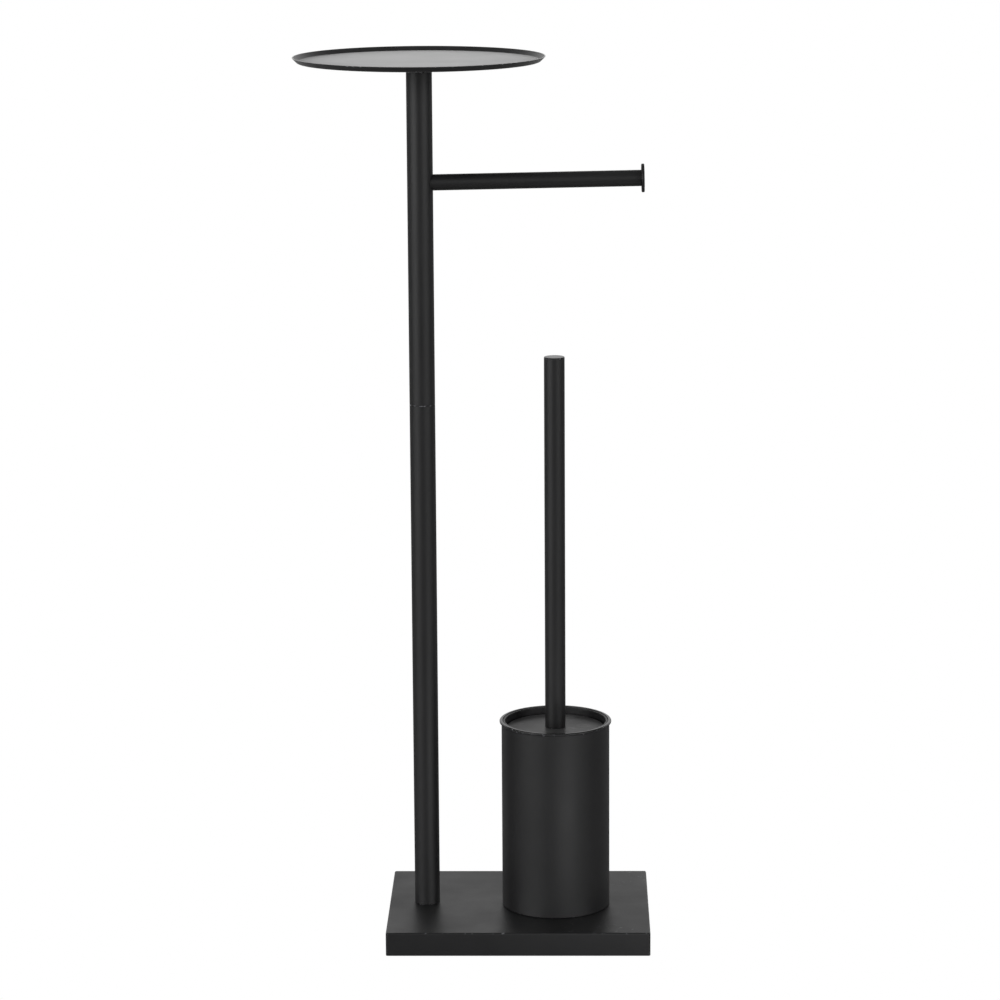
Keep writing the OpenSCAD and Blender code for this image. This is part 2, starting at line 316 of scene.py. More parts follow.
def dust_and_highlight_group():
    """Mixes a colour towards dust on faces that look up, in soft patches with a few specks. A thick film of
    it is painted highlight, and its lighter strokes are painted highlight streaks.
    """
    if "Settled Dust and Painted Highlight" in bpy.data.node_groups:
        return bpy.data.node_groups["Settled Dust and Painted Highlight"]
    tree, given, result = group_tree(
        "Settled Dust and Painted Highlight",
        "ShaderNodeTree",
        {
            "Vector": "Vector",
            "Color": (0.01, 0.01, 0.01, 1),
            "Dust Color": (0.2, 0.2, 0.2, 1),
            "Amount": 0.1,
            "Specks": 0.3,
            "Scuffs": 0.0,
        },
        {"Color": "Color", "Mask": "Float"},
    )
    normal = add_node(tree, "ShaderNodeNewGeometry").outputs["Normal"]
    upward = add_node(tree, "ShaderNodeSeparateXYZ", Vector=normal).outputs["Z"]
    facing = span(tree, upward, 0.4, 0.95, 0.0, 1.0)
    patches = noise(tree, given["Vector"], scale=38.0, detail=6.0, roughness=0.6)
    # The film is dust; where Amount is high it is also a painted highlight on upward faces.
    film = times(tree, span(tree, patches, 0.4, 0.75, 0.3, 1.0), given["Amount"])
    cells = add_node(tree, "ShaderNodeTexVoronoi", Vector=given["Vector"], Scale=220.0)
    speck = span(tree, cells.outputs["Distance"], 0.05, 0.09, 1.0, 0.0)
    chance = add_node(tree, "ShaderNodeSeparateXYZ", Vector=cells.outputs["Color"]).outputs["X"]
    few = times(tree, speck, maths(tree, "LESS_THAN", chance, 0.035))
    specks = times(tree, few, given["Specks"])
    # Lighter strokes of the dust colour: painted highlight streaks, laid where a surface shows streaky
    # reflections.
    streak_place = add_node(tree, "ShaderNodeMapping", Vector=given["Vector"], Rotation=(0, 0, 0.6), Scale=(1, 6, 1))
    strokes = add_node(
        tree, "ShaderNodeTexNoise", Vector=streak_place.outputs["Vector"], Scale=120.0, Detail=5.0, Distortion=0.8
    )
    patchy = span(tree, patches, 0.5, 0.62, 0.0, 1.0)
    highlight_streaks = times(tree, span(tree, strokes.outputs["Fac"], 0.53, 0.68, 0.0, 1.0), patchy)
    highlight_streaks = times(tree, highlight_streaks, given["Scuffs"])
    film = plus(tree, film, highlight_streaks)
    mask = times(tree, facing, maths(tree, "MAXIMUM", film, specks))
    mixed = mix_colours(tree, mask, given["Color"], given["Dust Color"])
    tree.links.new(mixed, result["Color"])
    tree.links.new(mask, result["Mask"])
    return tree


def edge_wear_group():
    """Marks the worn spots along sharp outer edges, where a coat is rubbed thin."""
    if "Edge Wear" in bpy.data.node_groups:
        return bpy.data.node_groups["Edge Wear"]
    tree, given, result = group_tree(
        "Edge Wear",
        "ShaderNodeTree",
        {
            "Vector": "Vector",
            "Color": (0.01, 0.01, 0.01, 1),
            "Bare Color": (0.4, 0.4, 0.4, 1),
            "Amount": 0.3,
        },
        {"Color": "Color", "Mask": "Float"},
    )
    nearness = add_node(tree, "ShaderNodeAttribute", {"attribute_name": "edge"}).outputs["Fac"]
    edge = span(tree, nearness, 0.3, 0.9, 0.0, 1.0)
    rubbed = noise(tree, given["Vector"], scale=260.0, detail=5.0, roughness=0.65)
    threshold = minus(tree, 0.8, given["Amount"])
    spots = span(tree, minus(tree, rubbed, threshold), 0.0, 0.05, 0.0, 1.0)
    mask = times(tree, edge, spots)
    mixed = mix_colours(tree, mask, given["Color"], given["Bare Color"])
    tree.links.new(mixed, result["Color"])
    tree.links.new(mask, result["Mask"])
    return tree


def new_material(name):
    """Makes a node material and returns it with its tree, its shader and Object coordinates."""
    material = bpy.data.materials.new(name)
    material.use_nodes = True
    tree = material.node_tree
    shader = tree.nodes["Principled BSDF"]
    place = tree.nodes.new("ShaderNodeTexCoord").outputs["Object"]
    return material, tree, shader, place


def use_group(tree, group, **inputs):
    """Places a shader group in a material's tree."""
    return add_node(tree, "ShaderNodeGroup", {"node_tree": group}, **inputs)


def add_grain(tree, place, grain_scale, cloud_scale, smoothest, roughest):
    """Places the grain group in a material's tree."""
    return use_group(
        tree,
        grain_group(),
        Vector=place,
        Grain_Scale=grain_scale,
        Cloud_Scale=cloud_scale,
        Smoothest=smoothest,
        Roughest=roughest,
    )


def surface(tree, shader, colour, grain, depth, metallic):
    """Feeds the shader its colour, its metal, and a grain's roughness and a bump of depth metres."""
    bump = add_node(tree, "ShaderNodeBump", Height=grain.outputs["Height"], Distance=depth, Strength=1.0)
    feed(tree, shader.inputs["Base Color"], colour)
    feed(tree, shader.inputs["Metallic"], metallic)
    feed(tree, shader.inputs["Roughness"], grain.outputs["Roughness"])
    feed(tree, shader.inputs["Normal"], bump.outputs["Normal"])


def clouded(tree, grain, colour, shade):
    """A colour that a grain's clouds darken to its share, shade."""
    darker = rgba([shade * part for part in colour])
    return mix_colours(tree, grain.outputs["Clouds"], rgba(colour), darker)


def rgba(colour):
    """A colour property as the four numbers that a socket takes."""
    return (*colour, 1.0)


# ---------------------------------------------------------------- materials


def powder_coat(name="black powder coat", film=0.06, haze=0.0, smoother=0.0, worn=0.2, highlight_streak_amount=0.0):
    """Satin black powder coat: a fine orange peel, a drifting sheen and a film of dust; a thick film and
    lighter strokes are painted highlight.
    """
    if name in bpy.data.materials:
        return bpy.data.materials[name]
    finish = bpy.context.scene.holder_finish
    mean = finish.powder_roughness - smoother
    drift = 0.05
    material, tree, shader, place = new_material(name)
    grain = add_grain(tree, place, 1100.0, 24.0, smoothest=mean - drift, roughest=mean + drift)
    dust = use_group(
        tree,
        dust_and_highlight_group(),
        Vector=place,
        Color=rgba(finish.powder),
        Dust_Color=rgba(finish.dust),
        Amount=film,
        Specks=0.5,
        Scuffs=highlight_streak_amount,
    )
    wear = use_group(
        tree,
        edge_wear_group(),
        Vector=place,
        Color=dust.outputs["Color"],
        Bare_Color=rgba(finish.zinc),
        Amount=worn,
    )
    surface(tree, shader, wear.outputs["Color"], grain, 0.012 * MM, wear.outputs["Mask"])
    shader.inputs["Sheen Weight"].default_value = haze
    shader.inputs["Sheen Roughness"].default_value = 0.3
    return material


def dust_and_highlight_powder_coat():
    """The same coat where dust lies and greys it when seen at a low angle; its thick film is also a painted
    highlight on upward faces.
    """
    return powder_coat("dusty black powder coat", film=0.2, haze=0.5)


def highlight_streak_powder_coat():
    """The same coat on the lid, with lighter strokes of the dust colour that are painted highlight streaks.
    """
    return powder_coat("scuffed black powder coat", film=0.12, haze=0.2, highlight_streak_amount=2.0)


def chipped_powder_coat():
    """The same coat on the column, chipped more at the ends of its tubes."""
    return powder_coat("chipped black powder coat", worn=0.27)


def rubbed_powder_coat():
    """The same coat on a rim, polished by hands."""
    return powder_coat("rubbed black powder coat", smoother=0.3, worn=0.14)


def rub_rim(piece, height):
    """Gives a piece's faces above height the rubbed coat."""
    piece.data.materials.append(rubbed_powder_coat())
    for polygon in piece.data.polygons:
        polygon.material_index = int(polygon.center.z > height)


def zinc_plate():
    """Zinc plated steel: bright metal with a fine lengthwise brushing and dull clouds."""
    if "zinc plate" in bpy.data.materials:
        return bpy.data.materials["zinc plate"]
    finish = bpy.context.scene.holder_finish
    material, tree, shader, place = new_material("zinc plate")
    streaks = add_node(tree, "ShaderNodeMapping", Vector=place, Scale=(1.0, 1.0, 12.0))
    grain = add_grain(tree, streaks.outputs["Vector"], 900.0, 60.0, smoothest=0.26, roughest=0.44)
    surface(tree, shader, clouded(tree, grain, finish.zinc, 0.8), grain, 0.006 * MM, 1.0)
    return material


def plain_finish(name, colour, grain_scale, depth, smoothest, roughest, shade=0.75, metallic=0.0):
    """A finish of one colour, darker in clouds, with a grain of its own size and depth."""
    if name in bpy.data.materials:
        return bpy.data.materials[name]
    material, tree, shader, place = new_material(name)
    grain = add_grain(tree, place, grain_scale, cloud_scale=45.0, smoothest=smoothest, roughest=roughest)
    surface(tree, shader, clouded(tree, grain, colour, shade), grain, depth, metallic)
    return material


def cast_iron():
    """Sand-cast iron, rough and dark."""
    return plain_finish(
        "cast iron",
        bpy.context.scene.holder_finish.iron,
        grain_scale=700.0,
        depth=0.12 * MM,
        smoothest=0.55,
        roughest=0.8,
        shade=0.6,
        metallic=0.6,
    )


def pad_rubber():
    """Matte rubber with a fine moulded texture."""
    return plain_finish(
        "pad rubber",
        bpy.context.scene.holder_finish.rubber,
        grain_scale=1600.0,
        depth=0.03 * MM,
        smoothest=0.7,
        roughest=0.85,
    )


def moulded_plastic():
    """Satin black polypropylene."""
    return plain_finish(
        "moulded plastic",
        bpy.context.scene.holder_finish.plastic,
        grain_scale=2200.0,
        depth=0.008 * MM,
        smoothest=0.34,
        roughest=0.46,
    )


def nylon_filament():
    """Nylon bristle, a little lighter from one filament to the next."""
    if "nylon filament" in bpy.data.materials:
        return bpy.data.materials["nylon filament"]
    finish = bpy.context.scene.holder_finish
    material, tree, shader, place = new_material("nylon filament")
    own = add_node(tree, "ShaderNodeAttribute", {"attribute_name": "filament_shade"})
    grain = add_grain(tree, place, 1500.0, 120.0, smoothest=0.28, roughest=0.42)
    darker, lighter = [rgba([share * part for part in finish.nylon]) for share in (0.6, 1.6)]
    tree.links.new(mix_colours(tree, own.outputs["Fac"], darker, lighter), shader.inputs["Base Color"])
    tree.links.new(grain.outputs["Roughness"], shader.inputs["Roughness"])
    return material


FINISHES = {
    "powder_black": powder_coat,
    "zinc_steel": zinc_plate,
    "cast_iron": cast_iron,
    "black_rubber": pad_rubber,
    "black_plastic": moulded_plastic,
    "nylon_bristle": nylon_filament,
}


# ---------------------------------------------------------------- mesh helpers


def upright(node):
    """A round, upright node's axis, radius, bottom and top, from its box."""
    low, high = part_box(node)
    centre = (low + high) / 2
    radius = max(high.x - low.x, high.y - low.y) / 2
    return Vector((centre.x, centre.y, 0)), radius, low.z, high.z


def rounded(outline, steps=6):
    """Rounds the corners of a closed outline of (x, y, radius).

    Returns points whose third value is 1 on the middle of an outer corner and 0 away from it.
    """
    turns = [
        (x - last_x) * (y + last_y)
        for (last_x, last_y, _), (x, y, _) in zip(outline[-1:] + outline[:-1], outline)
    ]
    outward = -1 if sum(turns) > 0 else 1
    points = []
    for i, (x, y, radius) in enumerate(outline):
        corner = Vector((x, y))
        if radius <= 0:
            points.append(Vector((x, y, 0)))
            continue
        before = (Vector(outline[i - 1][:2]) - corner).normalized()
        after = (Vector(outline[(i + 1) % len(outline)][:2]) - corner).normalized()
        outer = after.cross(before) * outward > 0
        half = before.angle(after) / 2
        centre = corner + (before + after).normalized() * (radius / math.sin(half))
        start = corner + before * (radius / math.tan(half)) - centre
        end = corner + after * (radius / math.tan(half)) - centre
        sweep = math.pi - 2 * half
        for step in range(steps + 1):
            part = step / steps
            near = math.sin((1 - part) * sweep) / math.sin(sweep)
            far = math.sin(part * sweep) / math.sin(sweep)
            point = centre + start * near + end * far
            points.append(Vector((*point, math.sin(math.pi * part) if outer else 0)))
    return points


def bridge(mesh, ring, after):
    """Joins two rings of vertices; a ring of one vertex is a pole."""
    count = max(len(ring), len(after))
    if count == 1:
        return
    for i in range(count):
        j = (i + 1) % count
        corners = [ring[i % len(ring)], ring[j % len(ring)], after[j % len(after)], after[i % len(after)]]
        corners = list(dict.fromkeys(corners))
        mesh.faces.new(corners)


def new_object(name, data):
    """Puts an object with its data in the scene."""
    made = bpy.data.objects.new(name, data)
    bpy.context.scene.collection.objects.link(made)
    return made


def finish_mesh(name, mesh, node_like, sharp=40):
    """Turns a bmesh into an object with outward normals and smooth shading up to sharp degrees."""
    bmesh.ops.remove_doubles(mesh, verts=mesh.verts, dist=1e-7)
    bmesh.ops.recalc_face_normals(mesh, faces=mesh.faces)
    data = bpy.data.meshes.new(name)
    mesh.to_mesh(data)
    mesh.free()
    piece = new_object(name, data)
    for polygon in data.polygons:
        polygon.use_smooth = True
    data.set_sharp_from_angle(angle=math.radians(sharp))
    flat = piece.modifiers.new("flat faces stay flat", "WEIGHTED_NORMAL")
    flat.keep_sharp = True
    return dress(piece, node_like)


def dress(piece, *nodes):
    """Rides a piece on its nodes' body, gives it their slot and finish, and hides the nodes."""
    record = frame["record"]
    slot = next(part["material_slot"] for part in record["subparts"] if part["node"] == nodes[0])
    body = next(name for name, members in record["behaviour"]["bodies"].items() if nodes[0] in members)
    piece.data.materials.clear()
    piece.data.materials.append(FINISHES[slot]())
    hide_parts(*nodes)
    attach(piece, body)
    return piece


def new_mesh():
    """An empty mesh whose points say how near they are to an outer edge."""
    mesh = bmesh.new()
    return mesh, mesh.verts.layers.float.new("edge")


def lathe(name, outline, place, node, turns=96):
    """Turns a closed outline of (radius, height, edge) about +Z and puts it at place."""
    mesh, edge_layer = new_mesh()
    rings = []
    for radius, height, edge in outline:
        ring = []
        for i in range(1 if radius < 1e-7 else turns):
            angle = TURN * i / turns
            spot = Vector((radius * math.cos(angle), radius * math.sin(angle), height))
            vert = mesh.verts.new(place @ spot)
            vert[edge_layer] = edge
            ring.append(vert)
        rings.append(ring)
    for ring, after in zip(rings, rings[1:] + rings[:1]):
        bridge(mesh, ring, after)
    return finish_mesh(name, mesh, node)


def at(point, height=0.0):
    """The placing matrix of something that stands on height over a point."""
    return Matrix.Translation(Vector((point.x, point.y, height)))


def tube_outline(radius, wall, length, edge):
    """A tube's wall, with the outer edges of both ends rounded."""
    bore = radius - wall
    burr = edge / 3
    return rounded(
        [
            (bore, 0, burr),
            (radius, 0, edge),
            (radius, length, edge),
            (bore, length, burr),
        ]
    )


def rounded_rectangle(width, depth, corner):
    """The points of a rectangle with round corners, centred on the origin."""
    w, d = width / 2, depth / 2
    return rounded([(w, d, corner), (-w, d, corner), (-w, -d, corner), (w, -d, corner)])


def folded_box(name, rings, node):
    """Joins rounded rectangles of (width, depth, corner, height, edge) and closes both ends."""
    mesh, edge_layer = new_mesh()
    corner_wear = 0.5
    loops = []
    for width, depth, corner, height, edge in rings:
        loop = []
        for x, y, at_corner in rounded_rectangle(width, depth, corner):
            vert = mesh.verts.new((x, y, height))
            vert[edge_layer] = max(edge, corner_wear * at_corner)
            loop.append(vert)
        loops.append(loop)
    for loop, after in zip(loops, loops[1:]):
        bridge(mesh, loop, after)
    mesh.faces.new(loops[0])
    mesh.faces.new(loops[-1])
    return finish_mesh(name, mesh, node)


def threaded_rod(name, radius, pitch, start, length, place, node):
    """A rod with a helical thread, which fades out towards a chamfer at both ends."""
    depth = bpy.context.scene.holder_shape.thread_depth
    chamfer = 0.6 * depth
    around, per_pitch = 32, 6
    rows = max(2, round(length / pitch * per_pitch))
    mesh = bmesh.new()
    rings = []
    for row in range(rows + 1):
        z = length * row / rows
        full = min(1, z / pitch, (length - z) / pitch)
        ring = []
        for i in range(around):
            phase = (z / pitch - i / around) % 1
            groove = depth * (1 - abs(2 * phase - 1)) * full
            r = radius - groove - chamfer * (1 - full)
            angle = TURN * i / around
            ring.append(mesh.verts.new(place @ Vector((r * math.cos(angle), r * math.sin(angle), start + z))))
        rings.append(ring)
    for ring, after in zip(rings, rings[1:]):
        bridge(mesh, ring, after)
    mesh.faces.new(rings[0])
    mesh.faces.new(rings[-1])
    return finish_mesh(name, mesh, node, sharp=50)


# ---------------------------------------------------------------- geometry nodes helpers


def run_tree(name, tree, values):
    """Runs a Geometry Nodes tree on an empty mesh and returns the result as a plain mesh object."""
    maker = new_object(name + "_maker", bpy.data.meshes.new(name))
    modifier = maker.modifiers.new(name, "NODES")
    modifier.node_group = tree
    for socket in tree.interface.items_tree:
        if socket.in_out == "INPUT" and socket.name in values:
            modifier[socket.identifier] = values[socket.name]
    bpy.context.view_layer.update()
    evaluated = maker.evaluated_get(bpy.context.evaluated_depsgraph_get())
    data = bpy.data.meshes.new_from_object(evaluated)
    piece = new_object(name, data)
    bpy.data.objects.remove(maker)
    return piece


def end_tree(tree, last, given, result):
    """Gives a tree's mesh its material and puts it out."""
    made = add_node(tree, "GeometryNodeSetMaterial", Geometry=last.outputs[0], Material=given["Material"])
    tree.links.new(made.outputs[0], result["Geometry"])


def divide(tree, value, by):
    """Splits a whole number into its quotient and its remainder."""
    quotient = maths(tree, "FLOOR", maths(tree, "DIVIDE", plus(tree, value, 0.5), by))
    return quotient, minus(tree, value, times(tree, quotient, by))


def bristle_tree():
    """Filaments in tufts, in rows round a core with a domed lower end."""
    tree, given, result = group_tree(
        "Bristle Tufts",
        "GeometryNodeTree",
        {
            "Rows": 18,
            "Tufts": 18,
            "Filaments": 15,
            "Filament Radius": 0.00025,
            "Core Radius": 0.007,
            "Tip Radius": 0.034,
            "Dome Height": 0.06,
            "Top Height": 0.115,
            "Dome Rows": 8,
            "Tuft Radius": 0.0011,
            "Splay": 0.12,
            "Wave": 0.0012,
            "Centre": "Vector",
            "Seed": 7,
            "Material": "Material",
        },
        {"Geometry": "Geometry"},
    )
    first_row = 0.6
    least_share = 0.24
    root_share = 0.9
    shortest = 0.93
    tuft_lean = 0.05
    wave_scale = 95.0
    per_row = times(tree, given["Tufts"], given["Filaments"])
    total = times(tree, given["Rows"], per_row)
    index = tree.nodes.new("GeometryNodeInputIndex").outputs[0]
    row, rest = divide(tree, index, per_row)
    tuft, _ = divide(tree, rest, given["Filaments"])
    tuft_id, _ = divide(tree, index, given["Filaments"])

    # How far down the dome a row points: a quarter turn at the pole, none on the sides.
    rise = maths(tree, "DIVIDE", plus(tree, row, first_row), given["Dome Rows"])
    dip = times(tree, maths(tree, "MINIMUM", minus(tree, rise, 1.0), 0.0), math.pi / 2)
    flat = maths(tree, "COSINE", dip)
    side_rows = minus(tree, minus(tree, given["Rows"], given["Dome Rows"]), 1.0)
    climb = maths(tree, "MAXIMUM", minus(tree, row, given["Dome Rows"]), 0.0)
    side = minus(tree, given["Top Height"], given["Dome Height"])
    height = plus(tree, given["Dome Height"], times(tree, side, maths(tree, "DIVIDE", climb, side_rows)))
    stagger = times(tree, maths(tree, "MODULO", row, 2.0), 0.5)
    angle = times(tree, maths(tree, "DIVIDE", plus(tree, tuft, stagger), given["Tufts"]), TURN)
    outward = add_node(
        tree,
        "ShaderNodeCombineXYZ",
        X=times(tree, maths(tree, "COSINE", angle), flat),
        Y=times(tree, maths(tree, "SINE", angle), flat),
        Z=maths(tree, "SINE", dip),
    ).outputs[0]

    def random_vector(seed_shift, ident, amount):
        seed = plus(tree, given["Seed"], float(seed_shift))
        made = add_node(tree, "FunctionNodeRandomValue", {"data_type": "FLOAT_VECTOR"}, ID=ident, Seed=seed)
        low, high = [s for s in made.inputs if s.type == "VECTOR"]
        low.default_value = (-1, -1, -1)
        high.default_value = (1, 1, 1)
        drawn = next(s for s in made.outputs if s.type == "VECTOR")
        return scaled(tree, drawn, amount)

    leaning = vector_sum(tree, outward, random_vector(1, index, given["Splay"]))
    leaning = vector_sum(tree, leaning, random_vector(2, tuft_id, tuft_lean))
    root = times(tree, given["Core Radius"], root_share)
    lifted = add_node(tree, "ShaderNodeCombineXYZ", Z=height).outputs[0]
    place = vector_sum(tree, scaled(tree, outward, root), lifted)
    place = vector_sum(tree, place, random_vector(3, index, given["Tuft Radius"]))
    place = vector_sum(tree, place, given["Centre"])

    points = add_node(tree, "GeometryNodePoints", Count=total, Position=place)
    turned = add_node(tree, "FunctionNodeAlignRotationToVector", {"axis": "Z"}, Vector=leaning)

    # Rows near the pole keep only the share of their tufts that has room.
    share = maths(tree, "MAXIMUM", flat, least_share)
    here = maths(tree, "FLOOR", times(tree, tuft, share))
    following = maths(tree, "FLOOR", times(tree, plus(tree, tuft, 1.0), share))
    kept = maths(tree, "GREATER_THAN", minus(tree, following, here), 0.5)

    line = add_node(tree, "GeometryNodeCurvePrimitiveLine", End=(0, 0, 1))
    resampled = add_node(tree, "GeometryNodeResampleCurve", Curve=line.outputs[0], Count=5)
    girth = add_node(tree, "GeometryNodeCurvePrimitiveCircle", Resolution=4, Radius=1.0)
    strand = add_node(
        tree,
        "GeometryNodeCurveToMesh",
        Curve=resampled.outputs[0],
        Profile_Curve=girth.outputs[0],
        Fill_Caps=True,
        Scale=1.0,
    )

    trim = add_node(tree, "FunctionNodeRandomValue", {"data_type": "FLOAT"}, ID=index, Seed=given["Seed"])
    low, high = [s for s in trim.inputs if s.type == "VALUE" and s.name in ("Min", "Max")][:2]
    low.default_value, high.default_value = shortest, 1.0
    drawn = next(s for s in trim.outputs if s.type == "VALUE")
    length = times(tree, minus(tree, given["Tip Radius"], root), drawn)
    size = add_node(
        tree, "ShaderNodeCombineXYZ", X=given["Filament Radius"], Y=given["Filament Radius"], Z=length
    ).outputs[0]
    placed = add_node(
        tree,
        "GeometryNodeInstanceOnPoints",
        Points=points.outputs[0],
        Selection=kept,
        Instance=strand.outputs[0],
        Rotation=turned.outputs[0],
        Scale=size,
    )
    shade = add_node(tree, "FunctionNodeRandomValue", {"data_type": "FLOAT"}, ID=index, Seed=given["Seed"])
    marked = add_node(
        tree,
        "GeometryNodeStoreNamedAttribute",
        {"data_type": "FLOAT", "domain": "INSTANCE"},
        Geometry=placed.outputs[0],
        Name="filament_shade",
        Value=next(s for s in shade.outputs if s.type == "VALUE"),
    )
    real = add_node(tree, "GeometryNodeRealizeInstances", Geometry=marked.outputs[0])

    # Nylon filaments are never straight: a slow noise bends them.
    position = tree.nodes.new("GeometryNodeInputPosition").outputs[0]
    wobble = add_node(tree, "ShaderNodeTexNoise", Vector=position, Scale=wave_scale, Detail=1.0)
    centred = vector_sum(tree, wobble.outputs["Color"], (-0.5, -0.5, -0.5))
    swing = scaled(tree, centred, times(tree, given["Wave"], 2.0))
    waved = add_node(tree, "GeometryNodeSetPosition", Geometry=real.outputs[0], Offset=swing)
    smooth = add_node(tree, "GeometryNodeSetShadeSmooth", Geometry=waved.outputs[0])
    end_tree(tree, smooth, given, result)
    return tree


def grid_tree():
    """Low round dots on a grid, facing down."""
    tree, given, result = group_tree(
        "Grip Dots",
        "GeometryNodeTree",
        {
            "Width": 0.2,
            "Depth": 0.15,
            "Pitch": 0.01,
            "Dot Radius": 0.003,
            "Dot Height": 0.0004,
            "Floor": 0.0,
            "Hole Centre": "Vector",
            "Hole Radius": 0.01,
            "Material": "Material",
        },
        {"Geometry": "Geometry"},
    )
    top_share = 0.8
    across, along = [
        plus(tree, maths(tree, "FLOOR", maths(tree, "DIVIDE", given[side], given["Pitch"])), 1.0)
        for side in ("Width", "Depth")
    ]
    grid = add_node(
        tree,
        "GeometryNodeMeshGrid",
        Size_X=given["Width"],
        Size_Y=given["Depth"],
        Vertices_X=across,
        Vertices_Y=along,
    )
    spot = tree.nodes.new("GeometryNodeInputPosition").outputs[0]
    gap = add_node(tree, "ShaderNodeVectorMath", {"operation": "DISTANCE"})
    tree.links.new(spot, gap.inputs[0])
    tree.links.new(given["Hole Centre"], gap.inputs[1])
    reach = plus(tree, given["Hole Radius"], given["Dot Radius"])
    clear = maths(tree, "GREATER_THAN", gap.outputs["Value"], reach)
    dot = add_node(
        tree,
        "GeometryNodeMeshCone",
        Vertices=20,
        Side_Segments=1,
        Radius_Top=times(tree, given["Dot Radius"], top_share),
        Radius_Bottom=given["Dot Radius"],
        Depth=given["Dot Height"],
    )
    placed = add_node(
        tree,
        "GeometryNodeInstanceOnPoints",
        Points=grid.outputs["Mesh"],
        Selection=clear,
        Instance=dot.outputs["Mesh"],
        Rotation=(math.pi, 0, 0),
    )
    real = add_node(tree, "GeometryNodeRealizeInstances", Geometry=placed.outputs[0])
    lift = add_node(tree, "ShaderNodeCombineXYZ", Z=plus(tree, given["Floor"], given["Dot Height"]))
    lifted = add_node(tree, "GeometryNodeSetPosition", Geometry=real.outputs[0], Offset=lift.outputs[0])
    end_tree(tree, lifted, given, result)
    return tree


# ---------------------------------------------------------------- the pieces


class HOLDER_OT_base(bpy.types.Operator):
    """Build the pressed base shell"""

    bl_idname = "holder.base"
    bl_label = "Base"

    def execute(self, context):
        shape = context.scene.holder_shape
        low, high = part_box("base_shell")
        width, depth = high.x - low.x, high.y - low.y
        edge, corner, sheet = shape.shell_edge, shape.shell_corner, shape.shell_sheet
        burr = 0.2 * MM
        inner_corner = 0.3 * MM
        fold_wear = 0.65
        inside = (width - 2 * sheet, depth - 2 * sheet)
        steps = 8
        rings = [
            (*inside, inner_corner, high.z - sheet, 0),
            (*inside, inner_corner, low.z + burr, 0),
            (inside[0] + 2 * burr, inside[1] + 2 * burr, inner_corner, low.z, 0),
            (width - 2 * burr, depth - 2 * burr, corner - burr, low.z, 0),
            (width, depth, corner, low.z + burr, 0),
        ]
        for step in range(steps + 1):
            angle = math.pi / 2 * step / steps
            inset = edge * (1 - math.cos(angle))
            height = high.z - edge + edge * math.sin(angle)
            folded = (width - 2 * inset, depth - 2 * inset, max(corner - inset, burr))
            rings.append((*folded, height, fold_wear * math.sin(2 * angle)))
        folded_box("base_shell_coated", rings, "base_shell")
        return {"FINISHED"}


class HOLDER_OT_floor_pad(bpy.types.Operator):
    """Build the pad under the base with its grip dots"""

    bl_idname = "holder.floor_pad"
    bl_label = "Floor pad"

    def execute(self, context):
        shape = context.scene.holder_shape
        low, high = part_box("anti_slip_pad")
        axis, radius, _, _ = upright("column_bolt")
        dot_height = 0.4 * MM
        clearance = 3.5 * MM
        hole = radius + clearance
        steps = 48
        width, depth = high.x - low.x, high.y - low.y
        outline = rounded_rectangle(width, depth, 4 * MM)
        angles = [TURN * i / steps for i in range(steps)]
        rim = [Vector((axis.x + hole * math.cos(a), axis.y + hole * math.sin(a))) for a in angles]
        mesh = bmesh.new()
        loops = []
        for height in (low.z + dot_height, high.z):
            pair = []
            for points in (outline, rim):
                verts = [mesh.verts.new((p.x, p.y, height)) for p in points]
                edges = [mesh.edges.new((a, b)) for a, b in zip(verts, verts[1:] + verts[:1])]
                pair.append((verts, edges))
            bmesh.ops.triangle_fill(mesh, use_beauty=True, edges=pair[0][1] + pair[1][1])
            loops.append(pair)
        for lower, upper in zip(loops[0], loops[1]):
            bridge(mesh, lower[0], upper[0])
        finish_mesh("floor_pad", mesh, "anti_slip_pad")

        margin = 2 * shape.pad_dot_pitch
        dots = run_tree(
            "grip_dots",
            grid_tree(),
            {
                "Width": width - margin,
                "Depth": depth - margin,
                "Pitch": shape.pad_dot_pitch,
                "Dot Radius": shape.pad_dot,
                "Dot Height": dot_height,
                "Floor": low.z,
                "Hole Centre": (axis.x, axis.y, 0),
                "Hole Radius": hole,
                "Material": pad_rubber(),
            },
        )
        dress(dots, "anti_slip_pad")
        return {"FINISHED"}


class HOLDER_OT_column(bpy.types.Operator):
    """Build the column's two tubes and its joining stud"""

    bl_idname = "holder.column"
    bl_label = "Column"

    def execute(self, context):
        shape = context.scene.holder_shape
        for node in ("lower_tube", "upper_tube"):
            axis, radius, bottom, top = upright(node)
            outline = tube_outline(radius, shape.tube_wall, top - bottom, shape.tube_edge)
            tube = lathe(node + "_coated", outline, at(axis, bottom), node, turns=72)
            tube.data.materials[0] = chipped_powder_coat()
        axis, radius, bottom, top = upright("joint_stud")
        threaded_rod("joint_stud_threaded", radius, PITCH, bottom, top - bottom, at(axis), "joint_stud")
        return {"FINISHED"}


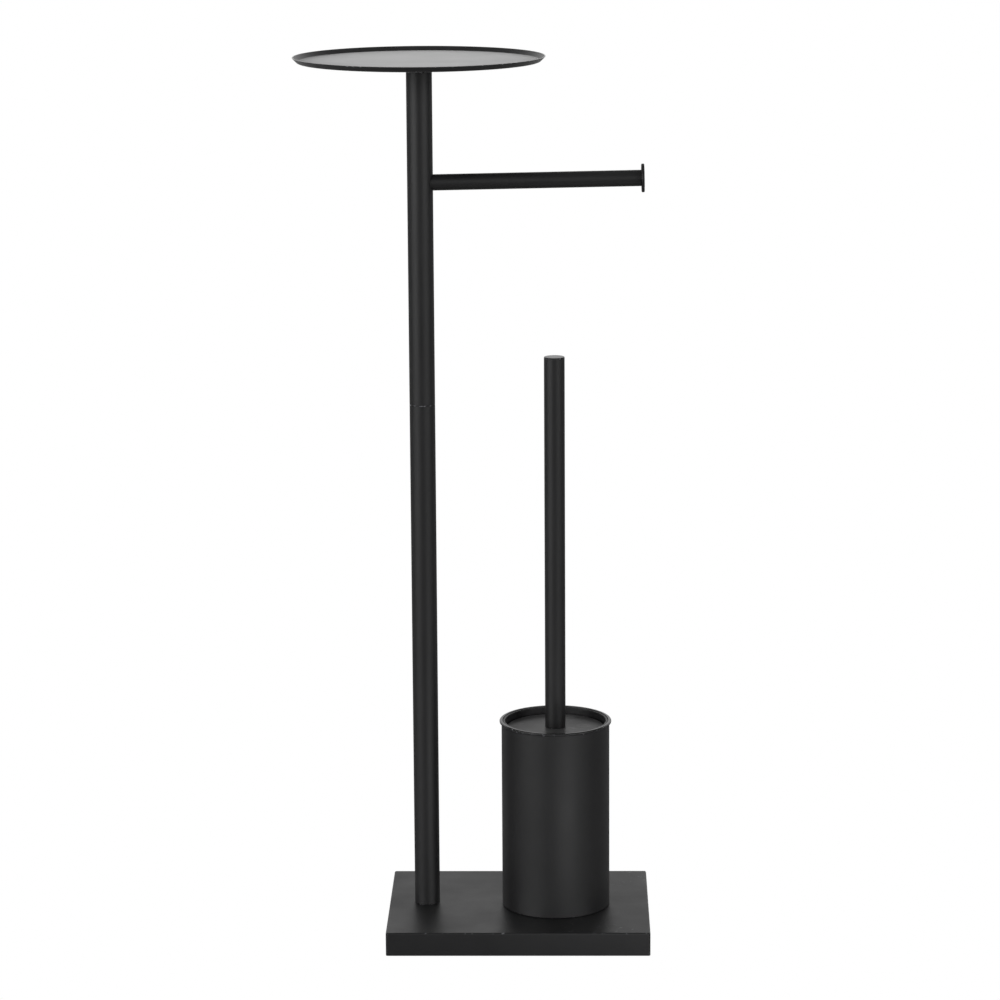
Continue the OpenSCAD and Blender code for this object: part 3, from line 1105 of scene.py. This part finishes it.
class HOLDER_OT_tray(bpy.types.Operator):
    """Build the spun tray and the turned boss under it"""

    bl_idname = "holder.tray"
    bl_label = "Tray"

    def execute(self, context):
        shape = context.scene.holder_shape
        axis, radius, bottom, top = upright("tray")
        sheet = shape.tray_sheet
        height = top - bottom
        rim = 0.35 * MM
        lip_wall = sheet * math.sqrt(2)
        foot = radius - height + rim
        bend = shape.tray_bend
        outline = rounded(
            [
                (0, 0, 0),
                (foot, 0, bend + sheet),
                (radius, height - rim, rim),
                (radius - rim, height, rim / 2),
                (foot - lip_wall + height, height, rim),
                (foot - lip_wall + sheet, sheet, bend),
                (0, sheet, 0),
            ],
            steps=8,
        )
        tray = lathe("tray_spun", outline, at(axis, bottom), "tray", turns=192)
        # The tray's dust film is thick enough to be partly a painted highlight on its upward faces.
        tray.data.materials[0] = dust_and_highlight_powder_coat()
        rubbed = 0.3 * MM
        rub_rim(tray, top - rubbed)

        boss_axis, boss_radius, boss_bottom, boss_top = upright("tray_boss")
        _, _, _, tube_top = upright("upper_tube")
        stud_relief = 0.4 * MM
        stud_radius = upright("joint_stud")[1] - stud_relief
        thread_start = boss_bottom - tube_top
        boss_height = boss_top - tube_top
        edge = shape.tube_edge
        outline = rounded(
            [
                (0, thread_start, 0),
                (stud_radius, thread_start, 0.3 * MM),
                (stud_radius, 0, 0),
                (boss_radius, 0, edge),
                (boss_radius, boss_height, 0),
                (0, boss_height, 0),
            ]
        )
        lathe("tray_boss_turned", outline, at(boss_axis, tube_top), "tray_boss", turns=72)
        return {"FINISHED"}


class HOLDER_OT_roll_arm(bpy.types.Operator):
    """Build the coped roll arm and the disc on its end"""

    bl_idname = "holder.roll_arm"
    bl_label = "Roll arm"

    def execute(self, context):
        shape = context.scene.holder_shape
        mount = next(m for m in frame["record"]["mounts"] if m["name"] == "roll_arm")
        along = Vector(mount["axis"]).normalized()
        column, column_radius, _, _ = upright("upper_tube")
        point = Vector(mount["pos_m"])
        start = point - along * ((point.x - column.x) / along.x)
        side = Vector((0, 1, 0))
        upward = along.cross(side)
        if upward.z < 0:
            upward = -upward
        place = Matrix((
            (side.x, upward.x, along.x, start.x),
            (side.y, upward.y, along.y, start.y),
            (side.z, upward.z, along.z, start.z),
            (0, 0, 0, 1),
        ))
        low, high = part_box("arm_tube")
        disc_low, disc_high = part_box("arm_end_disc")
        disc_radius = (disc_high.y - disc_low.y) / 2
        radius = (high.y - low.y) / 2
        tip = (disc_high.x - column.x - disc_radius * abs(along.z)) / along.x
        reach = tip - shape.disc_thickness

        self.coped_tube(place, radius, shape.thin_wall, reach, column_radius, shape.tube_edge, along.z)
        edge = shape.disc_edge
        bore, bore_top, spigot_end = 2.55 * MM, -2 * MM, -14 * MM
        spigot = radius - shape.thin_wall - 0.05 * MM
        outline = rounded(
            [
                (0, bore_top, 0),
                (bore, bore_top, 0),
                (bore, spigot_end, 0.2 * MM),
                (spigot, spigot_end, 0.4 * MM),
                (spigot, 0, 0),
                (disc_radius, 0, edge),
                (disc_radius, shape.disc_thickness, edge),
                (0, shape.disc_thickness, 0),
            ],
            steps=8,
        )
        lathe("arm_end_disc_coated", outline, place @ at(Vector((0, 0, 0)), reach), "arm_end_disc", turns=96)
        return {"FINISHED"}

    def coped_tube(self, place, radius, wall, reach, column_radius, edge, slope):
        """A tube whose near end is cut to sit on the column."""
        turns = 96
        bore = radius - wall
        gap = 0.02 * MM
        near_part = 0.3 * edge

        def ring(ring_radius, height):
            angles = [TURN * i / turns for i in range(turns)]
            points = [(ring_radius * math.cos(a), ring_radius * math.sin(a)) for a in angles]
            return [mesh.verts.new(place @ Vector((x, y, height(x, y)))) for x, y in points]

        def coped(clear):
            return lambda x, y: math.sqrt((column_radius + clear) ** 2 - x**2) + y * slope

        def flat(height):
            return lambda x, y: height

        mesh = bmesh.new()
        straight = column_radius + 4 * MM
        rings = [
            ring(bore, coped(gap)),
            ring(radius - edge, coped(gap)),
            ring(radius - near_part, coped(gap + near_part)),
            ring(radius, coped(gap + edge)),
            ring(radius, flat(straight)),
            ring(radius, flat(reach - edge)),
            ring(radius - near_part, flat(reach - near_part)),
            ring(radius - edge, flat(reach)),
            ring(bore, flat(reach)),
            ring(bore, flat(straight)),
        ]
        for one, after in zip(rings, rings[1:] + rings[:1]):
            bridge(mesh, one, after)
        finish_mesh("arm_tube_coped", mesh, "arm_tube")


class HOLDER_OT_canister(bpy.types.Operator):
    """Build the canister with its rolled mouth and its rubber ring"""

    bl_idname = "holder.canister"
    bl_label = "Canister"

    def execute(self, context):
        shape = context.scene.holder_shape
        axis, bead_radius, bottom, top = upright("canister")
        _, ring_radius, ring_bottom, ring_top = upright("canister_pad")
        wall, bead = shape.thin_wall, shape.bead
        ring_gap = 2 * MM
        radius = ring_radius + ring_gap + wall
        bore = radius - wall
        outline = rounded(
            [
                (0, ring_top, 0),
                (bore, ring_top, 0.2 * MM),
                (bore, bottom, 0.2 * MM),
                (radius, bottom, 0.3 * MM),
                (radius, top - 2 * bead, 0.25 * MM),
                (bead_radius, top - 2 * bead, 0.9 * bead),
                (bead_radius, top, bead),
                (bore, top, 0.5 * MM),
                (bore, ring_top + wall, 0.3 * MM),
                (0, ring_top + wall, 0),
            ],
            steps=8,
        )
        rubbed = 0.6 * MM
        rub_rim(lathe("canister_rolled", outline, at(axis), "canister", turns=192), top - rubbed)
        hole = 28 * MM
        outline = rounded(
            [
                (hole, ring_bottom, 0.4 * MM),
                (ring_radius, ring_bottom, 0.4 * MM),
                (ring_radius, ring_top, 0.3 * MM),
                (hole, ring_top, 0.3 * MM),
            ]
        )
        lathe("canister_rubber_ring", outline, at(axis), "canister_pad", turns=96)
        return {"FINISHED"}


class HOLDER_OT_liner(bpy.types.Operator):
    """Build the moulded liner with the step that carries the lid"""

    bl_idname = "holder.liner"
    bl_label = "Liner"

    def execute(self, context):
        shape = context.scene.holder_shape
        axis, radius, bottom, top = upright("liner")
        _, _, lid_bottom, _ = upright("lid")
        wall, step = shape.liner_wall, shape.liner_step
        draft = 0.6 * MM
        floor = bottom + 2 * MM
        outline = rounded(
            [
                (0, bottom, 0),
                (radius - step - draft, bottom, 3 * MM),
                (radius - step, lid_bottom - wall, 0.6 * MM),
                (radius, lid_bottom - wall, 0.8 * MM),
                (radius, top, 0.5 * MM),
                (radius - wall, top, 0.5 * MM),
                (radius - wall, lid_bottom, 0.6 * MM),
                (radius - step - wall, lid_bottom, 0.6 * MM),
                (radius - step - draft - wall, floor, 2 * MM),
                (0, floor, 0),
            ],
            steps=8,
        )
        lathe("liner_moulded", outline, at(axis), "liner", turns=160)
        return {"FINISHED"}


class HOLDER_OT_handle(bpy.types.Operator):
    """Build the lid, the handle, its cap, the lock nut and the threaded stem"""

    bl_idname = "holder.handle"
    bl_label = "Lid and handle"

    def execute(self, context):
        shape = context.scene.holder_shape
        axis, radius, bottom, top = upright("lid")
        stem_hole = 4.2 * MM
        outline = rounded(
            [
                (stem_hole, 0, 0.2 * MM),
                (radius, 0, 0.4 * MM),
                (radius, top - bottom, 0.6 * MM),
                (stem_hole, top - bottom, 0.2 * MM),
            ]
        )
        lid = lathe("lid_coated", outline, at(axis, bottom), "lid", turns=160)
        # The lid's lighter strokes are painted highlight streaks over its dust.
        lid.data.materials[0] = highlight_streak_powder_coat()

        axis, radius, bottom, top = upright("handle_tube")
        outline = tube_outline(radius, shape.thin_wall, top - bottom, shape.tube_edge)
        lathe("handle_tube_coated", outline, at(axis, bottom), "handle_tube", turns=72)
        _, _, cap_bottom, cap_top = upright("handle_cap")
        spigot = radius - shape.thin_wall - 0.02 * MM
        outline = rounded(
            [
                (0, cap_bottom - top, 0),
                (spigot, cap_bottom - top, 0.5 * MM),
                (spigot, 0, 0),
                (radius, 0, 0.15 * MM),
                (radius, cap_top - top, 0.75 * MM),
                (0, cap_top - top, 0),
            ],
            steps=8,
        )
        cap = lathe("handle_cap_coated", outline, at(axis, top), "handle_cap", turns=72)
        # The cap's dust film is thick enough to be partly a painted highlight on its top.
        cap.data.materials[0] = dust_and_highlight_powder_coat()

        axis, radius, bottom, top = upright("brush_stem")
        threaded_rod("brush_stem_threaded", radius, PITCH, bottom, top - bottom, at(axis), "brush_stem")
        self.lock_nut()
        return {"FINISHED"}

    def lock_nut(self):
        """A hexagon nut whose corners are turned off at both faces."""
        axis, radius, bottom, top = upright("lid_nut")
        bore = 4.05 * MM
        per_side = 8
        count = 6 * per_side
        flat = radius * math.cos(math.pi / 6)
        slope = 0.6
        mesh = bmesh.new()

        def hexagon(i, limit):
            angle = TURN * i / count
            to_side = (angle + math.pi / 6) % (math.pi / 3) - math.pi / 6
            return min(flat / math.cos(to_side), limit)

        def ring(size, height, fall=0):
            verts = []
            for i in range(count):
                angle = TURN * i / count + math.pi / 6
                r = size(i)
                x, y = axis.x + r * math.cos(angle), axis.y + r * math.sin(angle)
                verts.append(mesh.verts.new((x, y, height + fall * (r - flat))))
            return verts

        rings = [
            ring(lambda i: bore, bottom),
            ring(lambda i: hexagon(i, flat), bottom),
            ring(lambda i: hexagon(i, radius), bottom, slope),
            ring(lambda i: hexagon(i, radius), top, -slope),
            ring(lambda i: hexagon(i, flat), top),
            ring(lambda i: bore, top),
        ]
        for one, after in zip(rings, rings[1:] + rings[:1]):
            bridge(mesh, one, after)
        finish_mesh("lock_nut_hex", mesh, "lid_nut", sharp=25)


class HOLDER_OT_brush_head(bpy.types.Operator):
    """Build the brush core and its bristle tufts"""

    bl_idname = "holder.brush_head"
    bl_label = "Brush head"

    def execute(self, context):
        shape = context.scene.holder_shape
        axis, hub, bottom, top = upright("brush_core")
        _, tips, tip_bottom, tip_top = upright("bristles")
        core = hub - 1 * MM
        socket = 4.05 * MM
        socket_floor = top - 24 * MM
        shoulder = tip_top + 1 * MM
        collar = hub - 0.8 * MM
        outline = rounded(
            [
                (0, bottom, 0),
                (core, bottom, 4 * MM),
                (core, shoulder, 0.3 * MM),
                (hub, shoulder + 1 * MM, 0.8 * MM),
                (hub, top - 6 * MM, 0.4 * MM),
                (collar, top - 5.4 * MM, 0.3 * MM),
                (collar, top, 0.5 * MM),
                (socket, top, 0.4 * MM),
                (socket, socket_floor, 0),
                (0, socket_floor, 0),
            ]
        )
        lathe("brush_core_moulded", outline, at(axis), "brush_core", turns=64)
        reach = tips - 1 * MM
        tufts = run_tree(
            "bristle_tufts",
            bristle_tree(),
            {
                "Rows": shape.bristle_rows,
                "Tufts": shape.bristle_tufts,
                "Filaments": shape.bristle_count,
                "Filament Radius": shape.bristle_radius,
                "Core Radius": core,
                "Tip Radius": reach,
                "Dome Height": tip_bottom + reach - 3 * MM,
                "Top Height": tip_top - 5 * MM,
                "Centre": (axis.x, axis.y, 0),
                "Material": nylon_filament(),
            },
        )
        dress(tufts, "bristles")
        return {"FINISHED"}


class HOLDER_OT_inner_parts(bpy.types.Operator):
    """Give their finishes to the frame's own nodes that no piece replaces"""

    bl_idname = "holder.inner_parts"
    bl_label = "Inner parts"

    def execute(self, context):
        for part in frame["record"]["subparts"]:
            node = frame["nodes"][part["node"]]
            if node.hide_render:
                continue
            node.data.materials.clear()
            node.data.materials.append(FINISHES[part["material_slot"]]())
        return {"FINISHED"}


# ---------------------------------------------------------------- the stage


def panel_group():
    """The light of one soft box, far away, at an azimuth from +Y towards +X and an elevation."""
    if "Soft Panel" in bpy.data.node_groups:
        return bpy.data.node_groups["Soft Panel"]
    tree, given, result = group_tree(
        "Soft Panel",
        "ShaderNodeTree",
        {
            "Azimuth": 0.0,
            "Elevation": 0.2,
            "Half Width": 0.3,
            "Half Height": 0.2,
            "Edge": 0.1,
            "Brightness": 1.0,
        },
        {"Light": "Float"},
    )
    direction = tree.nodes.new("ShaderNodeTexCoord").outputs["Generated"]
    way = add_node(tree, "ShaderNodeSeparateXYZ", Vector=direction)
    azimuth = maths(tree, "ARCTAN2", way.outputs["X"], way.outputs["Y"])
    aside = maths(tree, "WRAP", minus(tree, azimuth, given["Azimuth"]), math.pi, -math.pi)
    above = minus(tree, maths(tree, "ARCSINE", way.outputs["Z"]), given["Elevation"])
    light = given["Brightness"]
    for offset, half in ((aside, given["Half Width"]), (above, given["Half Height"])):
        inside = minus(tree, half, maths(tree, "ABSOLUTE", offset))
        part = maths(tree, "DIVIDE", inside, given["Edge"])
        smooth = {"interpolation_type": "SMOOTHSTEP"}
        step = add_node(tree, "ShaderNodeMapRange", smooth, Value=part, From_Min=-0.5, From_Max=0.5)
        light = times(tree, light, step.outputs["Result"])
    tree.links.new(light, result["Light"])
    return tree


def studio_world(stage):
    """Soft boxes in front, a sweep low behind and a dim ceiling; the camera sees plain white."""
    world = bpy.data.worlds.new("studio")
    world.use_nodes = True
    tree = world.node_tree
    total = 0.0
    edge = math.radians(8)
    # Azimuth from +Y towards +X, elevation, half width and half height, all in degrees.
    for azimuth, elevation, half_width, half_height, brightness in (
        (-128, 9, 25, 11, stage.left_light),
        (133, 9, 23, 11, stage.right_light),
        (180, 15, 28, 20, stage.front_light),
        (0, 16, 75, 14, stage.back_light),
        (0, 65, 180, 25, stage.top_light),
    ):
        panel = use_group(
            tree,
            panel_group(),
            Azimuth=math.radians(azimuth),
            Elevation=math.radians(elevation),
            Half_Width=math.radians(half_width),
            Half_Height=math.radians(half_height),
            Edge=edge,
            Brightness=brightness,
        )
        total = plus(tree, total, panel.outputs["Light"])
    seen = tree.nodes.new("ShaderNodeLightPath").outputs["Is Camera Ray"]
    unseen = minus(tree, 1.0, seen)
    background = tree.nodes["Background"]
    strength = plus(tree, times(tree, total, unseen), seen)
    tree.links.new(strength, background.inputs["Strength"])
    background.inputs["Color"].default_value = (1.0, 1.0, 1.0, 1.0)
    bpy.context.scene.world = world


def soft_card(name, power, width, height, place, target):
    """A rectangular soft light near the object, which faces target and isn't seen itself."""
    data = bpy.data.lights.new(name, "AREA")
    data.shape = "RECTANGLE"
    data.size = width
    data.size_y = height
    data.energy = power
    light = new_object(name, data)
    light.location = place
    light.rotation_euler = (Vector(target) - Vector(place)).to_track_quat("-Z", "Y").to_euler()
    light.visible_camera = False


def studio_floor():
    """A wide pale floor, plain white to the camera, pale grey to the object and clear from below."""
    mesh = bmesh.new()
    half, sunk = 40.0, 0.2 * MM
    corners = [(-half, -half), (half, -half), (half, half), (-half, half)]
    mesh.faces.new([mesh.verts.new((x, y, -sunk)) for x, y in corners])
    data = bpy.data.meshes.new("floor")
    mesh.to_mesh(data)
    mesh.free()
    floor = new_object("floor", data)
    material, tree, shader, _ = new_material("pale floor")
    shader.inputs["Roughness"].default_value = 1.0
    shader.inputs["Specular IOR Level"].default_value = 0.0
    seen = tree.nodes.new("ShaderNodeLightPath").outputs["Is Camera Ray"]
    stage = bpy.context.scene.holder_stage
    level = span(tree, seen, 0.0, 1.0, stage.floor_grey, 0.0)
    grey = add_node(tree, "ShaderNodeCombineColor", Red=level, Green=level, Blue=level)
    tree.links.new(grey.outputs[0], shader.inputs["Base Color"])
    shader.inputs["Emission Color"].default_value = (1, 1, 1, 1)
    tree.links.new(span(tree, seen, 0.0, 1.0, stage.floor_glow, 1.0), shader.inputs["Emission Strength"])
    below = tree.nodes.new("ShaderNodeNewGeometry").outputs["Backfacing"]
    tree.links.new(minus(tree, 1.0, below), shader.inputs["Alpha"])
    data.materials.append(material)


class HOLDER_OT_stage(bpy.types.Operator):
    """Set up the floor, the lights and the camera"""

    bl_idname = "holder.stage"
    bl_label = "Stage"

    def execute(self, context):
        stage = context.scene.holder_stage
        context.scene.view_settings.view_transform = "Standard"
        studio_floor()
        studio_world(stage)
        corner = Vector((CAD_BOX[1][0], CAD_BOX[0][1], 0.02))
        stand_off = Vector((0.05, -0.26, 0.01))
        soft_card("corner_card", stage.card_light, 0.25, 0.06, corner + stand_off, corner)
        self.camera(stage)
        return {"FINISHED"}

    def camera(self, stage):
        """The camera, turned by yaw, then pitch, then roll about its own line of sight."""
        forward = Vector((
            math.sin(stage.yaw) * math.cos(stage.pitch),
            math.cos(stage.yaw) * math.cos(stage.pitch),
            -math.sin(stage.pitch),
        ))
        level = Vector((math.cos(stage.yaw), -math.sin(stage.yaw), 0))
        over = level.cross(forward)
        right = level * math.cos(stage.roll) + over * math.sin(stage.roll)
        over = over * math.cos(stage.roll) - level * math.sin(stage.roll)
        turn = Matrix((right, over, -forward)).transposed()
        data = bpy.data.cameras.new("camera")
        data.sensor_width = 36.0
        data.lens = stage.lens
        data.clip_end = 200.0
        camera = new_object("camera", data)
        camera.matrix_world = Matrix.Translation(Vector(stage.camera)) @ turn.to_4x4()
        bpy.context.scene.camera = camera


# ---------------------------------------------------------------- panel and running

STEPS = (
    HOLDER_OT_base,
    HOLDER_OT_floor_pad,
    HOLDER_OT_column,
    HOLDER_OT_tray,
    HOLDER_OT_roll_arm,
    HOLDER_OT_canister,
    HOLDER_OT_liner,
    HOLDER_OT_handle,
    HOLDER_OT_brush_head,
    HOLDER_OT_inner_parts,
    HOLDER_OT_stage,
)


class HOLDER_PT_panel(bpy.types.Panel):
    """The holder's steps and settings"""

    bl_idname = "HOLDER_PT_panel"
    bl_label = "Toilet Paper Holder"
    bl_space_type = "VIEW_3D"
    bl_region_type = "UI"
    bl_category = "Holder"

    def draw(self, context):
        for step in STEPS:
            self.layout.operator(step.bl_idname)
        scene = context.scene
        for settings in (scene.holder_shape, scene.holder_finish, scene.holder_stage):
            box = self.layout.box()
            for name in settings.__annotations__:
                box.prop(settings, name)


CLASSES = (HOLDER_PG_shape, HOLDER_PG_finish, HOLDER_PG_stage, *STEPS, HOLDER_PT_panel)


def register():
    for cls in CLASSES:
        bpy.utils.register_class(cls)
    bpy.types.Scene.holder_shape = bpy.props.PointerProperty(type=HOLDER_PG_shape)
    bpy.types.Scene.holder_finish = bpy.props.PointerProperty(type=HOLDER_PG_finish)
    bpy.types.Scene.holder_stage = bpy.props.PointerProperty(type=HOLDER_PG_stage)


def unregister():
    del bpy.types.Scene.holder_stage
    del bpy.types.Scene.holder_finish
    del bpy.types.Scene.holder_shape
    for cls in reversed(CLASSES):
        bpy.utils.unregister_class(cls)


def main():
    """Builds every piece and the stage."""
    register()
    for step in STEPS:
        group, name = step.bl_idname.split(".")
        getattr(getattr(bpy.ops, group), name)()


if __name__ == "__main__":
    main()
